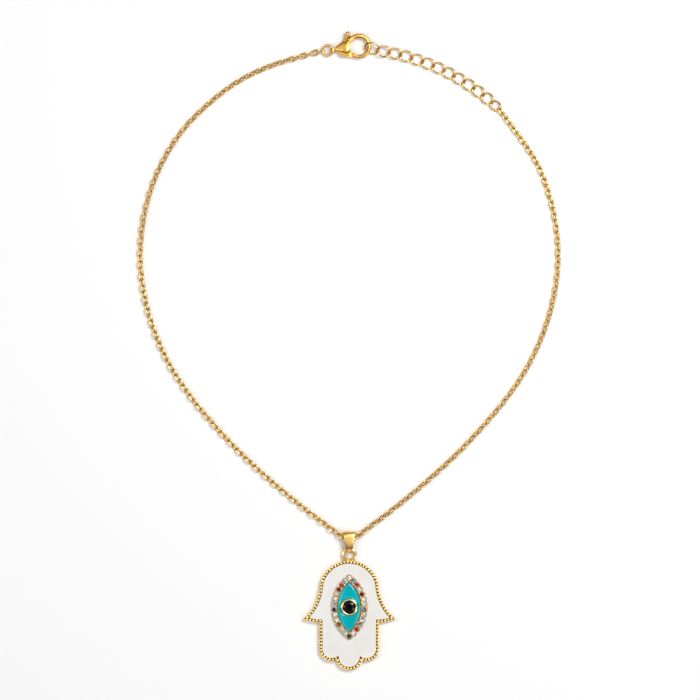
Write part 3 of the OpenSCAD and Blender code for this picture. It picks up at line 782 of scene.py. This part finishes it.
def halo_frame():
    """The scalloped frame round the eye with a seat for each stone."""
    rings = [
        eye_ring(halo_directions, lambda d, grow=grow: frame_reach(d, grow), z)
        for grow, z in ((0, SUNK_Z), (0, 1.95), (-0.05, 2.12), (-0.14, 2.2), (-0.22, 2.2))
    ] + [
        eye_ring(halo_directions, lambda d: almond_reach(d, HALO_R - INNER_RIM + 0.2), z)
        for z in (2.2, SUNK_Z)
    ]
    piece = new_piece("halo_frame", *loft(rings, closed=True), ROSE)
    cutter = seat_cutter()
    cut = piece.modifiers.new("Seats", "BOOLEAN")
    cut.object = cutter
    cut.operation = "DIFFERENCE"
    cut.solver = "EXACT"
    mesh = applied(piece)
    mesh.shade_smooth()
    mesh.set_sharp_from_angle(angle=math.radians(30))
    bpy.data.objects.remove(cutter)
    return finished(piece, ["pendant_casting"])


def seat_collars():
    """A thin round collar about each stone."""
    profile = [(SEAT_R, 2.1), (SEAT_R, 2.4), (0.76, 2.45), (0.8, 2.45), (0.845, 2.38), (0.85, 2.1)]
    collars = joined(lathe(profile, EYE.xy + halo_place(i), 24) for i in range(HALO_COUNT))
    return finished(new_piece("seat_collars", *collars, ROSE), ["pendant_casting"])


def halo_grains():
    """Two grains between each stone and the next, on the outer and the inner side."""
    outer = STONE_D / 2 + SCALLOP_W / 4
    places = []
    for i in range(HALO_COUNT):
        for out in (outer, -outer + 0.12):
            spot = EYE.xy + halo_place(i + 0.5, out)
            places.append((spot.x, spot.y, FRAME_H))
    grains = grain_piece("halo_grains", places, HALO_GRAIN_D, 0.4, BRIGHT)
    return finished(grains, ["pendant_casting"])


def bezel():
    """The round cup of the black stone, with a rounded lip."""
    profile = [
        (BEZEL_R, SUNK_Z), (BEZEL_R, 2.5), (2.67, 2.7), (2.6, 2.84), (2.48, BEZEL_H), (2.34, BEZEL_H),
        (2.22, 2.86), (BORE_R, 2.78), (BORE_R, 1.6), (0.4, 1.6), (0.4, SUNK_Z),
    ]
    return finished(new_piece("bezel", *lathe(profile, EYE), POLISHED), ["pendant_casting"])


def hanging_ring():
    """The ring on top of the hand: a flat outer band, a fine groove and a bevel towards its hole."""
    section = [
        (0.475, -0.2), (0.475, 0.16), (0.4, 0.34), (0.22, 0.46), (0.02, 0.475), (-0.06, 0.4),
        (-0.12, 0.4), (-0.2, 0.42), (-0.4, 0.26), (-0.475, 0.08), (-0.475, -0.16),
        (-0.34, -0.38), (0, -0.475), (0.34, -0.38),
    ]
    profile = [(HANG_R + x, HANG_Z + z) for x, z in section]
    return finished(new_piece("hanging_ring", *lathe(profile, HANG, 72), POLISHED), ["pendant_casting"])


halo_frame()
inner_rim()
seat_collars()
halo_grains()
bezel()
hanging_ring()


def ring_exit(direction, ring, start):
    """How far a ray from the eye's middle runs until it crosses a closed outline."""
    tiny = 1e-9
    reach = 0
    for p, q in zip(ring, ring[1:] + ring[:1]):
        x = p[0] - start.x
        y = p[1] - start.y
        run_x = q[0] - p[0]
        run_y = q[1] - p[1]
        cross = direction.x * run_y - direction.y * run_x
        if cross == 0:
            continue
        along = (x * run_y - y * run_x) / cross
        share = (x * direction.y - y * direction.x) / cross
        if along > 0 and -tiny <= share <= 1 + tiny:
            reach = max(reach, along)
    return reach


def enamel_field(name, directions, inner, outer, steps, material):
    """Enamel between two outlines.

    Each step gives its share of the way out, a distance added to that, and its height.
    """
    rings = []
    for share, more, z in steps:
        ring = []
        for d, low, high in zip(directions, inner, outer):
            reach = low + (high - low) * share + more
            ring.append((EYE.x + d.x * reach, EYE.y + d.y * reach, z))
        rings.append(ring)
    field = new_piece(name + "_field", *loft(rings, closed=True), material, sharp=50)
    return finished(field, [name])


def white_enamel():
    """The white field, which draws up a little at its edges as it sets."""
    ring = hand_ring(RIM_W + ENAMEL_GAP, 0)
    directions = halo_directions + [(Vector(p).xy - EYE.xy).normalized() for p in ring]
    directions.sort(key=angle_of)
    # One direction where two nearly meet
    apart = [directions[0]]
    for d in directions[1:]:
        if angle_of(d) - angle_of(apart[-1]) > 0.0005:
            apart.append(d)
    inner = [frame_reach(d, ENAMEL_GAP) for d in apart]
    outer = [ring_exit(d, ring, EYE) for d in apart]
    level = WHITE_H - 0.07
    steps = [
        (0, 0, PLATE_T), (0, 0, WHITE_H), (0, 0.1, WHITE_H - 0.04), (0, 0.25, level), (0, 0.3, level),
        (0.5, 0, level), (1, -0.35, level), (1, -0.3, level), (1, -0.12, WHITE_H - 0.03),
        (1, 0, WHITE_H), (1, 0, PLATE_T),
    ]
    return enamel_field("white_enamel", apart, inner, outer, steps, WHITE_ENAMEL)


def teal_enamel():
    """The teal field, domed: it falls to the bezel and further to the rim."""
    inner = [BEZEL_R + ENAMEL_GAP] * len(halo_directions)
    outer = [almond_reach(d, HALO_R - INNER_RIM - ENAMEL_GAP) for d in halo_directions]
    steps = [
        (0, 0, PLATE_T), (0, 0, 1.88), (0, 0.12, 1.94), (0, 0.32, 2.0), (0, 0.45, 2.04),
        (0, 0.52, TEAL_H), (1, -1.02, TEAL_H), (1, -0.95, TEAL_H), (1, -0.72, 2.02),
        (1, -0.38, 1.915), (1, -0.16, 1.84), (1, 0, 1.76), (1, 0, PLATE_T),
    ]
    return enamel_field("teal_enamel", halo_directions, inner, outer, steps, TEAL_ENAMEL)


white_enamel()
teal_enamel()


def cut_stone(name, centre, width, crown, depth, material, mains=8):
    """A brilliant cut: table, star and kite facets, a thin girdle and a pointed pavilion."""
    radius = width / 2
    table = 0.56
    belt = 0.02 * width
    step = 2 * math.pi / mains

    def spot(turn, reach, z):
        return (centre[0] + reach * math.cos(turn), centre[1] + reach * math.sin(turn), centre[2] + z)

    star_r = 0.5 * (1 + table) * radius
    star_z = crown * (radius - star_r * math.cos(step / 2)) / (radius * (1 - table))
    low_r = 0.3 * radius
    low_z = -depth * (radius - low_r * math.cos(step / 2)) / radius
    points = [spot(i * step, table * radius, crown) for i in range(mains)]
    points += [spot((i + 0.5) * step, star_r, star_z) for i in range(mains)]
    points += [spot(i * step / 2, radius, belt / 2) for i in range(2 * mains)]
    points += [spot(i * step / 2, radius, -belt / 2) for i in range(2 * mains)]
    points += [spot((i + 0.5) * step, low_r, low_z) for i in range(mains)]
    points.append((centre[0], centre[1], centre[2] - depth))
    star, girdle, under, low, tip = mains, 2 * mains, 4 * mains, 6 * mains, 7 * mains
    faces = [tuple(range(mains))]
    for i in range(mains):
        j = (i + 1) % mains
        before = (i - 1) % mains
        half = 2 * i + 1
        after = (2 * i + 2) % (2 * mains)
        faces += [
            (i, star + i, j),
            (i, star + before, girdle + 2 * i, star + i),
            (star + i, girdle + 2 * i, girdle + half),
            (star + i, girdle + half, girdle + after),
            (girdle + 2 * i, under + 2 * i, under + half, girdle + half),
            (girdle + half, under + half, under + after, girdle + after),
            (low + i, under + half, under + 2 * i),
            (low + i, under + after, under + half),
            (tip, low + i, under + 2 * i, low + before),
        ]
    piece = new_piece(name, points, faces, material)
    piece.data.shade_flat()
    return piece


def pupil_stone():
    girdle = (EYE.x, EYE.y, PUPIL_Z)
    stone = cut_stone("black_stone", girdle, PUPIL_D, 0.42, 1.17, BLACK_GLASS, mains=10)
    return finished(stone, ["pupil_stone"])


def halo_stone(index, glass):
    spot = EYE.xy + halo_place(index)
    girdle = (spot.x, spot.y, GIRDLE_Z)
    stone = cut_stone(f"gem_{index + 1:02d}", girdle, STONE_D, 0.26, 0.58, STONE_GLASS[glass])
    return finished(stone, [f"halo_stone_{index + 1:02d}"])


pupil_stone()
for i, glass in enumerate(STONES):
    halo_stone(i, glass)


# The bail

def bail_half_width(y):
    """Half of the bail's width in front view: tapering, then pointed."""
    top = BAIL_TOP_W / 2
    neck = BAIL_NECK_W / 2
    if y > BAIL_NECK_Y:
        return neck + (top - neck) * (y - BAIL_NECK_Y) / (BAIL_CREST_Y - BAIL_NECK_Y)
    return max(0.03, neck * (y - BAIL_POINT_Y) / (BAIL_NECK_Y - BAIL_POINT_Y))


def bail_bulge(share):
    """How far the front face stands out along its length: crowned, then creased above its foot."""
    peak = 0.4
    crease = 0.75
    if share < peak:
        return 0.2 * (1 - (1 - share / peak) ** 2)
    if share < crease:
        return 0.2 - 0.25 * ((share - peak) / (crease - peak)) ** 2.5
    return -0.05 * (1 - share) / (1 - crease)


def bail_stations():
    """Places round the strip's outer face, seen from the side, each with its way out.

    The strip goes round the top bend and the foot, with a straight run between them on each side.
    """
    way = BAIL_FOOT - BAIL_TOP
    lean = math.acos((BAIL_TOP_R - BAIL_FOOT_R) / way.length)
    turn = angle_of(way)
    top = arc(Vector((0, 0)), 1, turn + lean, turn - lean + 2 * math.pi, 24)
    foot = arc(Vector((0, 0)), 1, turn - lean, turn + lean, 16)
    stations = [(BAIL_TOP + BAIL_TOP_R * out, out) for out in top[:-1]]
    stations += straight_run(BAIL_TOP + BAIL_TOP_R * top[-1], BAIL_FOOT + BAIL_FOOT_R * foot[0], foot[0])
    stations += [(BAIL_FOOT + BAIL_FOOT_R * out, out) for out in foot[:-1]]
    stations += straight_run(BAIL_FOOT + BAIL_FOOT_R * foot[-1], BAIL_TOP + BAIL_TOP_R * top[0], top[0])
    return stations


def straight_run(start, end, out):
    """Stations from one bend to the other. Only the face that looks up is crowned."""
    shares = [k / 28 for k in range(28)]
    return [(start.lerp(end, s) + (bail_bulge(s) if out.y > 0 else 0) * out, out) for s in shares]


def bail_section(half):
    """Across the strip: a flat middle, a bevel on each side and the inner face."""
    bevel = min(0.75, 0.42 * half)
    flat = half - bevel
    right = [
        (0.35 * flat, 0), (flat, 0.02), (half - bevel * 0.12, 0.23), (half, 0.3),
        (half * 0.97, BAIL_WALL - 0.01), (half * 0.9, BAIL_WALL),
    ]
    return right + [(-x, inset) for x, inset in reversed(right)]


def bail():
    """A folded strip with crowned faces and bevelled sides."""
    rings = []
    for place, out in bail_stations():
        section = bail_section(bail_half_width(place.x))
        rings.append([(x, *(place - inset * out)) for x, inset in section])
    return finished(new_piece("bail_strip", *loft(rings, closed=True), SATIN, sharp=20), ["bail"])


bail()


# The clasp

def shaped_case(mesh):
    """The soft forms of the case: its crowned faces, the hook that flows into it, and its bevel."""
    crowned_faces(mesh)
    swelled_hook(mesh)
    bevel_to_opening(mesh)


def crowned_faces(mesh):
    """Rounds the wedge's faces down towards its upper edge, and leaves the slot's walls."""
    across = Vector((-0.306, 0.953, 0))
    slot_half = 0.6
    drop = 0.3
    for vertex in mesh.vertices:
        p = vertex.co / MM - CASE_END
        off = p.dot(across) / CASE_HALF
        if p.x > CASE_L or off <= 0:
            continue
        share = max(0, min(1, (abs(p.z) - slot_half) / 0.5))
        vertex.co.z -= math.copysign(drop * min(1, off) ** 2 * share, p.z) * MM


def swelled_hook(mesh):
    """Thickens the hook towards the case, so that the two flow into each other."""
    start = 20
    end = 150
    for vertex in mesh.vertices:
        p = vertex.co / MM - HOOK
        turn = math.degrees(math.atan2(p.y, p.x))
        if not start < turn < end:
            continue
        middle = HOOK_R * Vector((p.x, p.y, 0)).normalized()
        off = p - middle
        rise = (1 - math.cos(math.pi * min(1, (turn - start) / 95))) / 2
        near = max(0, min(1, (1.3 - off.length) / 0.55))
        share = rise * near * min(1, (end - turn) / 20)
        vertex.co = (HOOK + (1 - 0.045 * share) * middle + (1 + 0.36 * share) * off) * MM


def bevel_to_opening(mesh):
    """Lowers the wedge's faces towards the clasp's opening, as the polished bevel there does."""
    opening_r = 2.9
    edge_z = 0.92
    for vertex in mesh.vertices:
        p = vertex.co / MM - HOOK
        out = p.xy.length
        if p.x > 0 or p.y < -3.2 or abs(p.z) < 0.9 or out > 4.1:
            continue
        limit = edge_z + 0.34 * max(0, out - opening_r)
        vertex.co.z = (HOOK.z + math.copysign(min(abs(p.z), limit), p.z)) * MM


def sloped_heel(mesh):
    """Slopes the faces of the lever's heel down towards its outer edge."""
    heel_top_y = 97.3
    for vertex in mesh.vertices:
        p = vertex.co / MM
        share = min(1, (0.9 - p.x) / 0.8)
        if share <= 0 or p.y > heel_top_y:
            continue
        limit = 0.47 - 0.16 * share * (heel_top_y - p.y)
        z = p.z - CLASP_Z
        vertex.co.z = (CLASP_Z + math.copysign(min(abs(z), limit), z)) * MM


def softened(name, node, body, voxel, rounds, carve):
    """A cast piece from a merged copy of the CAD solid, with the soft edges that tumbling leaves."""
    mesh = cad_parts[node].data.copy()
    shape = bmesh.new()
    shape.from_mesh(mesh)
    bmesh.ops.remove_doubles(shape, verts=shape.verts, dist=0.001 * MM)
    shape.to_mesh(mesh)
    shape.free()
    piece = bpy.data.objects.new(name, mesh)
    bpy.context.scene.collection.objects.link(piece)
    remesh = piece.modifiers.new("Remesh", "REMESH")
    remesh.mode = "VOXEL"
    remesh.voxel_size = voxel * MM
    soften = piece.modifiers.new("Soften", "SMOOTH")
    soften.factor = 0.5
    soften.iterations = rounds
    soft_mesh = applied(piece)
    carve(soft_mesh)
    soft_mesh.materials.clear()
    soft_mesh.materials.append(DEEP)
    soft_mesh.shade_smooth()
    return finished(piece, [node], body=body)


def jump_ring():
    """The ring that slopes from the clasp's eye down to the chain."""
    tilt = math.asin((CLASP_Z - RING_END.z) / (2 * RING_R))
    middle = LUG - RING_R * Vector((math.cos(tilt), 0, math.sin(tilt)))
    turned = Euler((0, -tilt, 0), "XYZ").to_matrix()
    path = [middle + turned @ Vector(p) for p in round_ring(Vector((0, 0)), RING_R, 0, 48)]
    return finished(wire_piece("jump_ring", path, RING_WIRE, 16), ["clasp_ring"])


softened("clasp_case", "clasp_body", "root", 0.08, 7, shaped_case)
softened("clasp_thumb_lever", "clasp_lever", "lever", 0.07, 6, sloped_heel)
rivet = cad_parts["clasp_pin"]
rivet.data.materials.clear()
rivet.data.materials.append(DEEP)
jump_ring()


# Floor, light and camera, in metres

def floor():
    half = 2
    mesh = bpy.data.meshes.new("floor")
    corners = [(-half, -half, 0), (half, -half, 0), (half, half, 0), (-half, half, 0)]
    mesh.from_pydata(corners, [], [(0, 1, 2, 3)])
    mesh.materials.append(white_table())
    board = bpy.data.objects.new("floor", mesh)
    bpy.context.scene.collection.objects.link(board)


def softbox(name, place, size, power):
    """A soft light that faces the middle of the necklace."""
    lamp = bpy.data.lights.new(name, "AREA")
    lamp.shape = "RECTANGLE"
    lamp.size = size[0]
    lamp.size_y = size[1]
    lamp.energy = power
    light = bpy.data.objects.new(name, lamp)
    light.location = place
    light.rotation_euler = (-Vector(place)).to_track_quat("-Z", "Y").to_euler()
    light.visible_camera = False
    bpy.context.scene.collection.objects.link(light)


def sky():
    """A studio room: a ring of light above, with a dark spot where the camera stands.

    Its walls are dark and its floor is grey. Each step is a height, as a share, and a brightness.
    """
    world = bpy.data.worlds.new("studio")
    world.use_nodes = True
    tree = world.node_tree
    way = add(tree, "ShaderNodeTexCoord").outputs["Generated"]
    parts = add(tree, "ShaderNodeSeparateXYZ", {0: way})
    steps = add(tree, "ShaderNodeValToRGB", {"Fac": parts.outputs["Z"]})
    ramp = steps.color_ramp
    ramp.elements[0].color = (0.5, 0.5, 0.5, 1)
    ramp.elements[1].color = (0.1, 0.1, 0.1, 1)
    levels = ((0.1, 0.05), (0.5, 0.05), (0.7, 0.42), (0.82, 1.0), (0.975, 1.0), (0.992, 0.1))
    for height, level in levels:
        ramp.elements.new(height).color = (level, level, level, 1)
    tree.links.new(steps.outputs["Color"], tree.nodes["Background"].inputs["Color"])
    tree.nodes["Background"].inputs["Strength"].default_value = 0.84
    bpy.context.scene.world = world


def camera():
    """The camera stands over the necklace and looks straight down."""
    data = bpy.data.cameras.new("camera")
    data.sensor_width = 36
    data.lens = 316.5
    data.clip_end = 20
    viewer = bpy.data.objects.new("camera", data)
    viewer.location = (0.00023, 0.00026, 2.0)
    bpy.context.scene.collection.objects.link(viewer)
    bpy.context.scene.camera = viewer


floor()
sky()
softbox("key", (0.29, 0.26, 0.67), (0.28, 0.28), 3.4)
softbox("left strip", (-0.48, -0.05, 0.62), (0.14, 0.7), 1.4)
softbox("right strip", (0.48, -0.34, 0.6), (0.16, 0.36), 0.9)
camera()
bpy.context.scene.view_settings.view_transform = "Standard"
